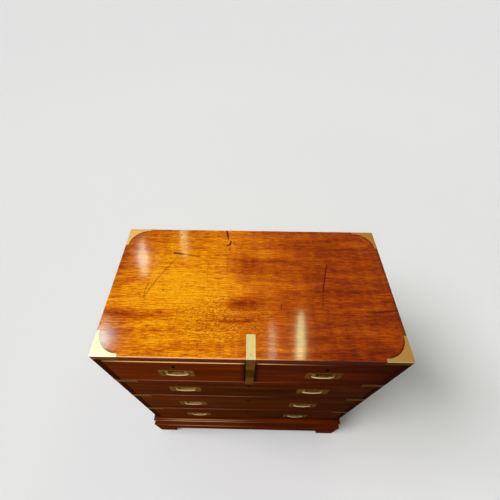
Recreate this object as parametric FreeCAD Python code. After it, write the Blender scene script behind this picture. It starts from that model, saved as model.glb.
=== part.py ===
import FreeCAD, Part
import math
import os

# Campaign chest: two short drawers over three long ones, in a brass-bound
# carcass that stands on a moulded plinth with bracket feet.
# Millimetres. +Z is up and the drawer fronts face -Y. The origin is on the
# floor, in the middle of the whole footprint. Rows count from the lowest up.

# ---------------------------------------------------------------- carcass
carcass_width = 880.0
carcass_depth = 467.0
top_thick = 23.0
side_thick = 20.0
bottom_thick = 20.0
back_thick = 10.0
back_rebate = 12.0          # how far the back boards reach into the sides
back_board_width = 145.0    # about this wide, in whole boards
back_board_bevel = 2.0
rail_thick = 26.0
rail_depth = 70.0
top_rail_thick = 15.0
top_rail_setback = 2.5       # behind the top's front edge, so the short drawers' edge shows
divider_thick = 28.0
housing = 8.0               # how far rails and bottom are let into the sides
edge_round = 2.0            # worn outer arris of the carcass
row_heights = [178.0, 205.0, 168.0, 178.0]    # clear openings, lowest first

# ---------------------------------------------------------------- runners
runner_width = 24.0
runner_thick = 18.0
centre_runner_width = 78.0
guide_height = 16.0
stop_length = 32.0
stop_depth = 12.0
stop_height = 6.0
stop_spread = 0.3           # stops stand this share of the opening from its middle

# ---------------------------------------------------------------- base
foot_height = 71.0
apron_height = 92.0
seat_height = 61.0          # moulding under the carcass
base_projection = 24.0      # moulding's nose beyond the carcass
apron_setback = 1.5
plinth_thick = 22.0
moulding_inset = 20.0       # moulding's ledge under the carcass
nose_projection = 15.0
nose_root = 4.0             # where the nose leaves and meets the carcass line
cove_top = 7.0              # projection at the top of the cove
cove_hollow = 4.0           # depth of the cove below its chord
cove_fillet = 4.0           # flat lower edge of the moulding
quirk = 2.0                 # small step between nose and cove
foot_width = 83.0
foot_curve = 20.0           # concave shoulder where a bracket meets the apron
foot_block = 45.0
foot_block_lift = 3.0

# ---------------------------------------------------------------- drawers
front_thick = 22.0
front_setback = 1.0
front_round = 1.2
side_board = 10.0
back_board = 10.0
drawer_bottom_thick = 7.0
bottom_lift = 10.0          # drawer bottom above the lower edge of the sides
groove_depth = 4.0
side_drop = 4.0             # drawer sides stop this far below the front's top
lap = 14.0                  # dovetails' length into the front
tail_pitch = 40.0
tail_share = 0.62           # width of a tail's root, as a share of the pitch
tail_slope = 1.0 / 7.0
side_gap = 1.0              # each side of a drawer in its opening
top_gap = 1.5
running_gap = 0.3           # under a drawer, and in front of its stops
rear_gap = 12.0

# ---------------------------------------------------------------- brass
brass_thick = 2.5
corner_leg = 75.0
corner_end = 9.0            # width of a corner's square ends
strap_height = 24.0
strap_leg = 72.0
centre_strap_width = 26.0
centre_strap_top = 71.0     # length on the top
centre_strap_stop = 2.0     # above the lower edge of the upper rail
screw_head = 3.2
screw_shank = 1.6
screw_cone = 2.0
screw_length = 15.0
screw_slot = 0.8
screw_gap = 0.1
strap_screw_inset = 13.5
divider_screw_inset = 35.6    # from each end of the divider

# ---------------------------------------------------------------- flush pulls
pull_spacing = 447.0        # between the two pulls of a row
pulls_below_middle = [6.0, 0.0, -6.0, 11.0]    # of their drawers, lowest first
plate_width = 110.0
plate_height = 58.0
plate_thick = 2.5
plate_corner = 10.0
plate_round = 0.6
well_side_margin = 16.0     # of the plate's face beside the well
well_top_margin = 12.0
well_low_margin = 8.0
well_depth = 14.5
well_corner_top = 4.0
well_corner_low = 14.0
well_round = 5.0
well_wall = 3.0
well_back_wall = 2.0
mortise_gap = 0.3
pull_screw_inset = 8.0
bail_gap = 2.0              # all round, between bail and well
bail_arm = 12.0
bail_grip = 12.0
bail_rear = 5.5             # back of the bail behind the plate's face
bail_sink = 0.5             # ends of the grip behind the plate's face
bail_bow = 3.0              # how far the grip bows out at its middle
bail_round = 1.6
pivot_depth = 3.0
pivot_below_arm_top = 4.0
pivot_radius = 1.6
pivot_gap = 0.05
pivot_reach = 2.5           # length of a pin inside the well's wall

# ---------------------------------------------------------------- locks
key_drops = [38.0, 36.0, 21.0, 38.0]    # keyhole below the front's top, lowest first
lock_width = 62.0
lock_thick = 11.0
lock_below_key = 14.0
bolt_width = 20.0
bolt_thick = 5.0
bolt_gap = 0.15
bolt_above_key = 8.0
bolt_travel = 6.0
bolt_sink = 0.3
socket_gap = 0.8            # round a thrown bolt, in the rail above
key_radius = 3.6
key_slot = 3.6
key_slot_drop = 9.0
escutcheon_rim = 3.0
escutcheon_thick = 3.0

# ---------------------------------------------------------------- working sizes
overcut = 5.0               # how far a cutter passes the faces that it cuts
same = 1e-4                 # coordinates closer than this are the same

# ---------------------------------------------------------------- levels and planes
seat_z = foot_height + apron_height + seat_height
floors = [seat_z + bottom_thick]
for height in row_heights[:-1]:
    floors.append(floors[-1] + height + rail_thick)
ceilings = [floor + height for floor, height in zip(floors, row_heights)]
top_under_z = ceilings[-1] + top_rail_thick
top_z = top_under_z + top_thick

half_width = carcass_width / 2.0
inner_half = half_width - side_thick
half_divider = divider_thick / 2.0
front_y = base_projection - (carcass_depth + base_projection) / 2.0
back_y = front_y + carcass_depth
back_inner_y = back_y - back_thick
drawer_face_y = front_y + front_setback
drawer_rear_y = back_inner_y - rear_gap
apron_projection = base_projection - apron_setback
apron_inner = apron_projection - plinth_thick

well_width = plate_width - 2.0 * well_side_margin
well_height = plate_height - well_top_margin - well_low_margin
well_shift = (well_low_margin - well_top_margin) / 2.0    # well's middle above the plate's middle

# Each drawer: name, row, the ends of its opening, the places of its pulls and its keyhole
pull_x = pull_spacing / 2.0
lower_row, middle_row, upper_row, top_row = range(len(row_heights))
DRAWERS = [
    ("short_left", top_row, -inner_half, -half_divider, [-pull_x], -pull_x),
    ("short_right", top_row, half_divider, inner_half, [pull_x], pull_x),
    ("long_upper", upper_row, -inner_half, inner_half, [-pull_x, pull_x], 0.0),
    ("long_middle", middle_row, -inner_half, inner_half, [-pull_x, pull_x], 0.0),
    ("long_lower", lower_row, -inner_half, inner_half, [-pull_x, pull_x], 0.0),
]


# ---------------------------------------------------------------- small tools
def vec(x, y, z):
    return FreeCAD.Vector(x, y, z)


def box(x0, x1, y0, y1, z0, z1):
    return Part.makeBox(x1 - x0, y1 - y0, z1 - z0, vec(x0, y0, z0))


def joined(shapes):
    """One solid from overlapping or touching ones."""
    whole = shapes[0]
    for shape in shapes[1:]:
        whole = whole.fuse(shape)
    return whole.removeSplitter()


def group(shapes):
    """Separate solids kept together in one node."""
    solids = []
    for shape in shapes:
        solids.extend(shape.Solids)
    return Part.makeCompound(solids)


def without(shape, cutters):
    """A shape less each cutter whose box meets its own."""
    for cutter in cutters:
        if shape.BoundBox.intersect(cutter.BoundBox):
            shape = shape.cut(cutter)
    return shape


def polygon(points, direction):
    """A prism on a closed outline of points."""
    return Part.Face(Part.makePolygon(points + points[:1])).extrude(direction)


def line(a, b):
    return Part.makeLine(a, b)


def arc(a, middle, b):
    return Part.Arc(a, middle, b).toShape()


def mirrored_x(shape):
    return shape.mirror(vec(0, 0, 0), vec(1, 0, 0))


def edges_in_plane(shape, axis, value):
    """Edges that lie in one plane square to an axis."""
    found = []
    for edge in shape.Edges:
        bounds = edge.BoundBox
        low = getattr(bounds, axis + "Min")
        high = getattr(bounds, axis + "Max")
        if abs(low - value) < same and abs(high - value) < same:
            found.append(edge)
    return found


def rounded_plate(cx, cz, width, height, r_top, r_low, y0, y1):
    """A plate square to Y, with rounded upper and lower corners."""
    left, right = cx - width / 2.0, cx + width / 2.0
    low, high = cz - height / 2.0, cz + height / 2.0
    bend = 1.0 - math.sqrt(0.5)
    corners = [
        (vec(right, y0, high), vec(0, 0, -1), vec(-1, 0, 0), r_top),
        (vec(right, y0, low), vec(-1, 0, 0), vec(0, 0, 1), r_low),
        (vec(left, y0, low), vec(0, 0, 1), vec(1, 0, 0), r_low),
        (vec(left, y0, high), vec(1, 0, 0), vec(0, 0, -1), r_top),
    ]
    edges = []
    ends = []
    for corner, onward, back, radius in corners:
        start = corner + back * radius
        end = corner + onward * radius
        middle = corner + (back + onward) * (radius * bend)
        ends.append((start, end))
        edges.append(arc(start, middle, end))
    for index in range(4):
        edges.append(line(ends[index][1], ends[(index + 1) % 4][0]))
    face = Part.Face(Part.Wire(Part.__sortEdges__(edges)))
    return face.extrude(vec(0, y1 - y0, 0))


def screw(tip_of_head, inward, slot_along):
    """A countersunk wood screw with a slotted head, driven along inward."""
    head = Part.makeCone(screw_head, screw_shank, screw_cone, tip_of_head, inward)
    shank = Part.makeCylinder(screw_shank, screw_length, tip_of_head, inward)
    across = inward.cross(slot_along)
    half_run = slot_along * (screw_head + overcut)
    half_slot = across * (screw_slot / 2.0)
    points = [
        tip_of_head - half_run - half_slot,
        tip_of_head + half_run - half_slot,
        tip_of_head + half_run + half_slot,
        tip_of_head - half_run + half_slot,
    ]
    slot = polygon(points, inward * screw_slot)
    return head.fuse(shank).cut(slot)


def screw_hole(tip_of_head, inward):
    """The space that a screw fills, with its gap."""
    head = Part.makeCone(screw_head + screw_gap, screw_shank + screw_gap, screw_cone, tip_of_head, inward)
    shank = Part.makeCylinder(screw_shank + screw_gap, screw_length + screw_gap, tip_of_head, inward)
    return head.fuse(shank)


# ---------------------------------------------------------------- envelope and brass
def carcass_envelope():
    """The whole carcass as one block with worn arrises; wood and brass share its faces."""
    block = box(-half_width, half_width, front_y, back_y, seat_z, top_z)
    worn = edges_in_plane(block, "Z", top_z)
    for edge in block.Edges:
        if abs(edge.BoundBox.ZLength - (top_z - seat_z)) < same:
            worn.append(edge)
    return block.makeFillet(edge_round, worn)


envelope = carcass_envelope()


def corner_region():
    """Space of the brass corner at -X, -Y: a top plate with a hollow edge and two edge legs."""
    x0, y0 = -half_width, front_y
    plate = box(x0, x0 + corner_leg, y0, y0 + corner_leg, top_z - brass_thick, top_z)
    centre = vec(x0 + corner_leg, y0 + corner_leg, top_z - brass_thick - overcut)
    hollow = Part.makeCylinder(corner_leg - corner_end, brass_thick + 2.0 * overcut, centre)
    front_leg = box(x0, x0 + corner_leg, y0, y0 + brass_thick, top_under_z, top_z)
    side_leg = box(x0, x0 + brass_thick, y0, y0 + corner_leg, top_under_z, top_z)
    return joined([plate.cut(hollow), front_leg, side_leg])


def corner_brass_list():
    """Four flush corners, front pair first."""
    region = corner_region()
    middle_y = (front_y + back_y) / 2.0
    rear = region.mirror(vec(0, middle_y, 0), vec(0, 1, 0))
    regions = [region, mirrored_x(region), rear, mirrored_x(rear)]
    return [envelope.common(each) for each in regions]


def edge_strap_list():
    """L-shaped straps over the ends of the three long rails, on both front corners."""
    straps = []
    for ceiling in ceilings[:-1]:
        middle = ceiling + rail_thick / 2.0
        low, high = middle - strap_height / 2.0, middle + strap_height / 2.0
        front = box(-half_width, -half_width + strap_leg, front_y, front_y + brass_thick, low, high)
        side = box(-half_width, -half_width + brass_thick, front_y, front_y + strap_leg, low, high)
        strap = envelope.common(joined([front, side]))
        straps.append(strap)
        straps.append(mirrored_x(strap))
    return straps


def centre_strap_blank():
    """The strap over the middle of the top's front edge and down the divider."""
    half = centre_strap_width / 2.0
    low = ceilings[upper_row] + centre_strap_stop
    on_top = box(-half, half, front_y, front_y + centre_strap_top, top_z - brass_thick, top_z)
    on_front = box(-half, half, front_y, front_y + brass_thick, low, top_z)
    return envelope.common(joined([on_top, on_front]))


def carcass_screw_places():
    """Head, direction and slot of each screw in the straps."""
    places = [(vec(0, front_y + strap_screw_inset, top_z), vec(0, 0, -1), vec(1, 0, 0))]
    for level in (floors[top_row] + divider_screw_inset, ceilings[top_row] - divider_screw_inset):
        places.append((vec(0, front_y, level), vec(0, 1, 0), vec(1, 0, 0)))
    for ceiling in ceilings[:-1]:
        level = ceiling + rail_thick / 2.0
        for hand in (-1, 1):
            front = vec(hand * (half_width - strap_leg + strap_screw_inset), front_y, level)
            side = vec(hand * half_width, front_y + strap_leg - strap_screw_inset, level)
            places.append((front, vec(0, 1, 0), vec(1, 0, 0)))
            places.append((side, vec(-hand, 0, 0), vec(0, 1, 0)))
    return places


corner_brasses = corner_brass_list()
edge_straps = edge_strap_list()
strap_blank = centre_strap_blank()
screw_places = carcass_screw_places()
screw_holes = [screw_hole(point, inward) for point, inward, slot in screw_places]
inlays = corner_brasses + edge_straps + [strap_blank]


def wood(shape, cutters=()):
    """Carcass wood: inside the envelope, let in for the brass and its screws."""
    return without(envelope.common(shape), inlays + screw_holes + list(cutters))


# ---------------------------------------------------------------- lock places
def key_level(row):
    return ceilings[row] - top_gap - key_drops[row]


def bolt_socket(row, key_x):
    """Mortise in the rail over a row, for its thrown bolt."""
    half = bolt_width / 2.0 + socket_gap
    middle = lock_middle_y()
    half_y = bolt_thick / 2.0 + socket_gap
    top = ceilings[row] - top_gap - bolt_sink + bolt_travel + socket_gap
    return box(key_x - half, key_x + half, middle - half_y, middle + half_y, ceilings[row], top)


def lock_middle_y():
    return drawer_face_y + front_thick - lock_thick / 2.0


sockets = [bolt_socket(row, key_x) for name, row, left, right, pulls, key_x in DRAWERS]


# ---------------------------------------------------------------- carcass wood
def back_boards():
    """Upright boards with bevelled edges, between the rebates of the sides and under the top."""
    half = half_width - side_thick + back_rebate
    count = max(2, round(2.0 * half / back_board_width))
    width = 2.0 * half / count
    boards = []
    for index in range(count):
        x0 = -half + index * width
        x1 = x0 + width
        bevel = back_board_bevel
        points = [
            vec(x0, back_inner_y, seat_z),
            vec(x1, back_inner_y, seat_z),
            vec(x1, back_y - bevel, seat_z),
            vec(x1 - bevel, back_y, seat_z),
            vec(x0 + bevel, back_y, seat_z),
            vec(x0, back_y - bevel, seat_z),
        ]
        boards.append(polygon(points, vec(0, 0, top_under_z - seat_z)))
    return boards


def back_space():
    half = half_width - side_thick + back_rebate
    return box(-half, half, back_inner_y, back_y, seat_z, top_under_z)


def rail(low, thick, setback):
    """A front rail, let into both sides."""
    reach = inner_half + housing
    return box(-reach, reach, front_y + setback, front_y + rail_depth, low, low + thick)


rails = [rail(ceiling, rail_thick, 0.0) for ceiling in ceilings[:-1]]
top_rail_blank = rail(ceilings[top_row], top_rail_thick, top_rail_setback)
bottom_blank = box(-inner_half - housing, inner_half + housing, front_y, back_inner_y, seat_z, floors[0])


def side(hand):
    x0 = -half_width if hand < 0 else inner_half
    board = box(x0, x0 + side_thick, front_y, back_y, seat_z, top_under_z)
    return wood(board, rails + [top_rail_blank, bottom_blank, back_space()])


def top_board():
    board = box(-half_width, half_width, front_y, back_y, top_under_z, top_z)
    return wood(board)


def divider():
    return wood(box(-half_divider, half_divider, front_y, front_y + rail_depth,
                    floors[top_row], ceilings[top_row]))


def runner_list():
    """Side runners behind each rail, and the middle runner, guide and kicker of the top row."""
    start, end = front_y + rail_depth, back_inner_y
    pieces = []
    for level in floors[1:]:
        for hand in (-1, 1):
            x0, x1 = sorted((hand * inner_half, hand * (inner_half - runner_width)))
            pieces.append(box(x0, x1, start, end, level - runner_thick, level))
    half = centre_runner_width / 2.0
    level = floors[top_row]
    pieces.append(box(-half, half, start, end, level - runner_thick, level))
    pieces.append(box(-half_divider, half_divider, start, end, level, level + guide_height))
    kicker_ends = [
        (-inner_half, -inner_half + runner_width),
        (-half, half),
        (inner_half - runner_width, inner_half),
    ]
    for x0, x1 in kicker_ends:
        pieces.append(box(x0, x1, start, end, ceilings[top_row], top_under_z))
    return pieces


def stop_list():
    """Two small blocks behind the front of each drawer."""
    start = drawer_face_y + front_thick + running_gap
    pieces = []
    for name, row, left, right, pulls, key_x in DRAWERS:
        middle = (left + right) / 2.0
        for hand in (-1, 1):
            x = middle + hand * stop_spread * (right - left)
            x0, x1 = x - stop_length / 2.0, x + stop_length / 2.0
            level = floors[row]
            pieces.append(box(x0, x1, start, start + stop_depth, level, level + stop_height))
    return pieces


# ---------------------------------------------------------------- base
def plan_prism(points, low, high):
    return polygon([vec(x, y, low) for x, y in points], vec(0, 0, high - low))


def front_plan(outer, inner, low, high):
    """Plan of a front piece with mitred ends, between two projections from the carcass."""
    points = [
        (-half_width - outer, front_y - outer),
        (half_width + outer, front_y - outer),
        (half_width + inner, front_y - inner),
        (-half_width - inner, front_y - inner),
    ]
    return plan_prism(points, low, high)


def side_plan(outer, inner, low, high):
    """Plan of a left side piece: mitred in front, square behind."""
    points = [
        (-half_width - outer, front_y - outer),
        (-half_width - inner, front_y - inner),
        (-half_width - inner, back_y),
        (-half_width - outer, back_y),
    ]
    return plan_prism(points, low, high)


def moulding_outline(place):
    """Section of the base moulding; place turns (projection, height) into a point."""
    base = seat_z - seat_height
    lip = seat_z + bottom_thick
    nose_low = lip - 2.0 * (nose_projection - nose_root + quirk)
    nose_mid = (lip + nose_low) / 2.0
    cove_start = place(cove_top, nose_low - quirk)
    cove_end = place(base_projection, base + cove_fillet)
    chord_p = (cove_top + base_projection) / 2.0
    chord_z = (nose_low - quirk + base + cove_fillet) / 2.0
    run = base_projection - cove_top
    fall = nose_low - quirk - base - cove_fillet
    length = math.hypot(run, fall)
    hollow = place(chord_p - cove_hollow * fall / length, chord_z - cove_hollow * run / length)
    return [
        line(place(0, lip), place(nose_root, lip)),
        arc(place(nose_root, lip), place(nose_projection, nose_mid), place(nose_root, nose_low)),
        line(place(nose_root, nose_low), place(cove_top, nose_low)),
        line(place(cove_top, nose_low), cove_start),
        arc(cove_start, hollow, cove_end),
        line(cove_end, place(base_projection, base)),
        line(place(base_projection, base), place(-moulding_inset, base)),
        line(place(-moulding_inset, base), place(-moulding_inset, seat_z)),
        line(place(-moulding_inset, seat_z), place(0, seat_z)),
        line(place(0, seat_z), place(0, lip)),
    ]


def moulding_list():
    """Front and two side lengths of moulding, mitred, with a rebate that seats the carcass."""
    reach = half_width + base_projection
    low, high = seat_z - seat_height, seat_z + bottom_thick
    front_wire = Part.Wire(moulding_outline(lambda p, z: vec(-reach, front_y - p, z)))
    front = Part.Face(front_wire).extrude(vec(2.0 * reach, 0, 0))
    front = front.common(front_plan(base_projection, -moulding_inset, low, high))
    start = front_y - base_projection
    side_wire = Part.Wire(moulding_outline(lambda p, z: vec(-half_width - p, start, z)))
    left = Part.Face(side_wire).extrude(vec(0, back_y - start, 0))
    left = left.common(side_plan(base_projection, -moulding_inset, low, high))
    return [front, left, mirrored_x(left)]


def foot_bracket(corner, along, inward):
    """A bracket board: straight foot with a concave shoulder under the apron."""
    def at(run, z):
        return corner + along * run + vec(0, 0, z)

    top = foot_width + foot_curve
    shoulder = foot_height - foot_curve
    bend = foot_curve * (1.0 - math.sqrt(0.5))
    edges = [
        line(at(0, 0), at(foot_width, 0)),
        line(at(foot_width, 0), at(foot_width, shoulder)),
        arc(at(foot_width, shoulder), at(foot_width + bend, foot_height - bend), at(top, foot_height)),
        line(at(top, foot_height), at(0, foot_height)),
        line(at(0, foot_height), at(0, 0)),
    ]
    return Part.Face(Part.Wire(edges)).extrude(inward * plinth_thick)


def feet_list():
    """Four bracket feet of two boards each, mitred in front and butted behind."""
    outer, inner = apron_projection, apron_inner
    corner = vec(-half_width - outer, front_y - outer, 0)
    front = foot_bracket(corner, vec(1, 0, 0), vec(0, 1, 0))
    front = front.common(front_plan(outer, inner, 0, foot_height))
    flank = foot_bracket(corner, vec(0, 1, 0), vec(1, 0, 0))
    flank = flank.common(side_plan(outer, inner, 0, foot_height))
    rear_corner = vec(-half_width - outer, back_y, 0)
    rear_flank = foot_bracket(rear_corner, vec(0, -1, 0), vec(1, 0, 0))
    behind = foot_bracket(rear_corner, vec(1, 0, 0), vec(0, -1, 0)).cut(rear_flank)
    pieces = [front, flank, rear_flank, behind]
    return pieces + [mirrored_x(piece) for piece in pieces]


def foot_block_list():
    """Glue blocks behind the feet, from just above the floor to the moulding."""
    x0 = -half_width - apron_inner
    low, high = foot_block_lift, foot_height + apron_height
    front = front_y - apron_inner
    rear = back_y - plinth_thick
    left = [
        box(x0, x0 + foot_block, front, front + foot_block, low, high),
        box(x0, x0 + foot_block, rear - foot_block, rear, low, high),
    ]
    return left + [mirrored_x(block) for block in left]


mouldings = moulding_list()
apron_top = foot_height + apron_height


def plinth_front():
    return front_plan(apron_projection, apron_inner, foot_height, apron_top)


def plinth_side():
    return side_plan(apron_projection, apron_inner, foot_height, apron_top)


def plinth_back():
    half = half_width + apron_inner
    board = box(-half, half, back_y - plinth_thick, back_y, foot_height, seat_z)
    return without(board, mouldings)


# ---------------------------------------------------------------- flush pulls
def pull_plate_blank(x, z):
    """Plate and well as one casting, before its holes."""
    face = drawer_face_y
    plate = rounded_plate(x, z, plate_width, plate_height, plate_corner, plate_corner,
                          face, face + plate_thick)
    plate = plate.makeFillet(plate_round, edges_in_plane(plate, "Y", face))
    centre = z + well_shift
    rear = face + well_depth + well_back_wall
    shell = rounded_plate(x, centre, well_width + 2.0 * well_wall, well_height + 2.0 * well_wall,
                          well_corner_top + well_wall, well_corner_low + well_wall, face + plate_round, rear)
    shell = shell.makeFillet(well_round, edges_in_plane(shell, "Y", rear))
    hollow = rounded_plate(x, centre, well_width, well_height, well_corner_top, well_corner_low,
                           face - overcut, face + well_depth)
    bottom_edges = edges_in_plane(hollow, "Y", face + well_depth)
    hollow = hollow.makeFillet(min(well_round, well_corner_top - plate_round), bottom_edges)
    return plate.fuse(shell).cut(hollow).removeSplitter()


def pull_screw_places(x, z):
    half_x = plate_width / 2.0 - pull_screw_inset
    half_z = plate_height / 2.0 - pull_screw_inset
    places = []
    for sx in (-1, 1):
        for sz in (-1, 1):
            places.append(vec(x + sx * half_x, drawer_face_y, z + sz * half_z))
    return places


def pivot_level(z):
    """Height of a bail's pivot."""
    return z + well_shift + well_height / 2.0 - bail_gap - pivot_below_arm_top


def pull_plate(x, z):
    """The casting with its four screw holes and the bores for the bail's pins."""
    plate = pull_plate_blank(x, z)
    reach = well_width / 2.0 + pivot_reach + pivot_gap
    start = vec(x - reach, drawer_face_y + pivot_depth, pivot_level(z))
    bore = Part.makeCylinder(pivot_radius + pivot_gap, 2.0 * reach, start, vec(1, 0, 0))
    holes = [screw_hole(point, vec(0, 1, 0)) for point in pull_screw_places(x, z)]
    return without(plate, [bore] + holes)


def pull_mortise(x, z):
    """What a drawer front loses to one pull and its screws."""
    face = drawer_face_y
    plate = rounded_plate(x, z, plate_width, plate_height, plate_corner, plate_corner,
                          face - overcut, face + plate_thick)
    gap = 2.0 * (well_wall + mortise_gap)
    shell = rounded_plate(x, z + well_shift, well_width + gap, well_height + gap,
                          well_corner_top + gap / 2.0, well_corner_low + gap / 2.0,
                          face, face + well_depth + well_back_wall + mortise_gap)
    holes = [screw_hole(point, vec(0, 1, 0)) for point in pull_screw_places(x, z)]
    return [plate, shell] + holes


def bail(x, z):
    """Swinging handle: two arms and a bowed grip, with a pin out of each arm."""
    face = drawer_face_y
    width = well_width - 2.0 * bail_gap
    height = well_height - 2.0 * bail_gap
    centre = z + well_shift
    low = centre - height / 2.0
    top_radius = min(well_corner_top, pivot_below_arm_top)
    blank = rounded_plate(x, centre, width, height, top_radius, well_corner_low - bail_gap,
                          face - bail_bow, face + bail_rear)
    slot = rounded_plate(x, low + bail_grip + height, width - 2.0 * bail_arm, 2.0 * height,
                         bail_round, bail_round, face - bail_bow - overcut, face + bail_rear + overcut)
    sag = bail_bow
    radius = (width * width / 4.0 + sag * sag) / (2.0 * sag)
    axis_y = face + bail_sink - bail_bow + radius
    drum = Part.makeCylinder(radius, 2.0 * height, vec(x, axis_y, centre - height))
    body = blank.cut(slot).common(drum)
    front_edges = []
    for edge in body.Edges:
        bounds = edge.BoundBox
        if bounds.YMax < face + bail_sink + same and bounds.ZMax < low + bail_grip + 2.0 * bail_round:
            front_edges.append(edge)
    body = body.makeFillet(bail_round, front_edges)
    start = vec(x - well_width / 2.0 - pivot_reach, face + pivot_depth, pivot_level(z))
    pin = Part.makeCylinder(pivot_radius, well_width + 2.0 * pivot_reach, start, vec(1, 0, 0))
    between = box(x - width / 2.0 + bail_arm, x + width / 2.0 - bail_arm,
                  face - overcut, face + bail_rear + overcut, low, centre + height)
    return joined([body] + pin.cut(between).Solids)


# ---------------------------------------------------------------- locks
def key_outline(x, z, rim, y0, y1):
    """Keyhole shape, or one larger by rim: a round eye over a straight slot."""
    eye = Part.makeCylinder(key_radius + rim, y1 - y0, vec(x, y0, z), vec(0, 1, 0))
    half = key_slot / 2.0 + rim
    slot = box(x - half, x + half, y0, y1, z - key_slot_drop - rim, z)
    return joined([eye, slot])


def lock(row, x):
    """Lock case in the back of a drawer front, and the escutcheon in its face."""
    z = key_level(row)
    face = drawer_face_y
    rear = face + front_thick
    top = ceilings[row] - top_gap
    case = box(x - lock_width / 2.0, x + lock_width / 2.0, rear - lock_thick, rear,
               z - key_slot_drop - lock_below_key, top)
    case = case.cut(bolt_channel(row, x))
    case = case.cut(key_outline(x, z, 0.0, rear - lock_thick, lock_middle_y()))
    rim = key_outline(x, z, escutcheon_rim, face, face + escutcheon_thick)
    rim = rim.cut(key_outline(x, z, 0.0, face - overcut, face + escutcheon_thick + overcut))
    return group([case, rim])


def bolt_channel(row, x):
    half_x = bolt_width / 2.0 + bolt_gap
    half_y = bolt_thick / 2.0 + bolt_gap
    middle = lock_middle_y()
    top = ceilings[row] - top_gap
    return box(x - half_x, x + half_x, middle - half_y, middle + half_y,
               key_level(row) + bolt_above_key - bolt_gap, top)


def lock_bolt(row, x):
    """The bolt, withdrawn into the case."""
    half_x = bolt_width / 2.0
    half_y = bolt_thick / 2.0
    middle = lock_middle_y()
    top = ceilings[row] - top_gap - bolt_sink
    return box(x - half_x, x + half_x, middle - half_y, middle + half_y,
               key_level(row) + bolt_above_key, top)


def lock_mortise(row, x):
    """What a drawer front loses to its lock, keyhole and escutcheon."""
    z = key_level(row)
    face = drawer_face_y
    rear = face + front_thick
    top = ceilings[row] - top_gap
    case = box(x - lock_width / 2.0, x + lock_width / 2.0, rear - lock_thick, rear,
               z - key_slot_drop - lock_below_key, top)
    hole = key_outline(x, z, 0.0, face, rear)
    rim = key_outline(x, z, escutcheon_rim, face, face + escutcheon_thick)
    return [case, hole, rim]


# ---------------------------------------------------------------- drawers
def tail_list(low, high, root_y, tip_y, x0, x1):
    """Dovetails along a corner, wider at their tips, spread evenly over its height."""
    count = max(2, round((high - low) / tail_pitch))
    pitch = (high - low) / count
    half_root = pitch * tail_share / 2.0
    half_tip = half_root + abs(tip_y - root_y) * tail_slope
    tails = []
    for index in range(count):
        middle = low + (index + 0.5) * pitch
        points = [
            vec(x0, root_y, middle - half_root),
            vec(x0, tip_y, middle - half_tip),
            vec(x0, tip_y, middle + half_tip),
            vec(x0, root_y, middle + half_root),
        ]
        tails.append(polygon(points, vec(x1 - x0, 0, 0)))
    return tails


def drawer_limits(row, left, right):
    low = floors[row] + running_gap
    high = ceilings[row] - top_gap
    return left + side_gap, right - side_gap, low, high


def drawer_box(row, left, right):
    """Two sides, the back and the bottom of a drawer."""
    x0, x1, low, high = drawer_limits(row, left, right)
    start = drawer_face_y + front_thick
    side_top = high - side_drop
    floor = low + bottom_lift
    back_start = drawer_rear_y - back_board
    groove_x0 = x0 + side_board - groove_depth
    groove_x1 = x1 - side_board + groove_depth
    bottom = box(groove_x0, groove_x1, start - groove_depth, drawer_rear_y, floor, floor + drawer_bottom_thick)
    sides = []
    for edge in (x0, x1 - side_board):
        board = box(edge, edge + side_board, start, back_start, low, side_top)
        front_tails = tail_list(low, side_top, start, start - lap, edge, edge + side_board)
        rear_low = floor + drawer_bottom_thick
        rear_tails = tail_list(rear_low, side_top, back_start, drawer_rear_y, edge, edge + side_board)
        heel = box(edge, edge + side_board, back_start, drawer_rear_y, low, rear_low)
        sides.append(joined([board, heel] + front_tails + rear_tails).cut(bottom))
    back = box(x0, x1, back_start, drawer_rear_y, floor + drawer_bottom_thick, side_top)
    return sides + [without(back, sides), bottom]


def drawer_front(row, left, right, pulls, key_x):
    """The front board, cut for its tails, bottom, pulls and lock."""
    x0, x1, low, high = drawer_limits(row, left, right)
    face = drawer_face_y
    board = box(x0, x1, face, face + front_thick, low, high)
    board = board.makeFillet(front_round, edges_in_plane(board, "Y", face))
    cutters = list(drawer_box(row, left, right))
    for x in pulls:
        cutters.extend(pull_mortise(x, pull_level(row)))
    cutters.extend(lock_mortise(row, key_x))
    return without(board, cutters)


def pull_level(row):
    return (floors[row] + ceilings[row]) / 2.0 - pulls_below_middle[row]


# ---------------------------------------------------------------- nodes
nodes = {
    "top_board": top_board(),
    "left_side": side(-1),
    "right_side": side(1),
    "back_boards": group(back_boards()),
    "bottom_board": wood(bottom_blank),
    "lower_rail": wood(rails[lower_row], sockets),
    "middle_rail": wood(rails[middle_row], sockets),
    "upper_rail": wood(rails[upper_row], sockets),
    "top_rail": wood(top_rail_blank, sockets),
    "short_drawer_divider": divider(),
    "drawer_runners": group(runner_list()),
    "drawer_stops": group(stop_list()),
    "corner_brasses": group(corner_brasses),
    "centre_strap": without(strap_blank, screw_holes),
    "edge_straps": group([without(strap, screw_holes) for strap in edge_straps]),
    "brass_screws": group([screw(*place) for place in screw_places]),
    "base_moulding": group(mouldings),
    "plinth_front": plinth_front(),
    "plinth_sides": group([plinth_side(), mirrored_x(plinth_side())]),
    "plinth_back": plinth_back(),
    "bracket_feet": group(feet_list()),
    "foot_blocks": group(foot_block_list()),
}

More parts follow.
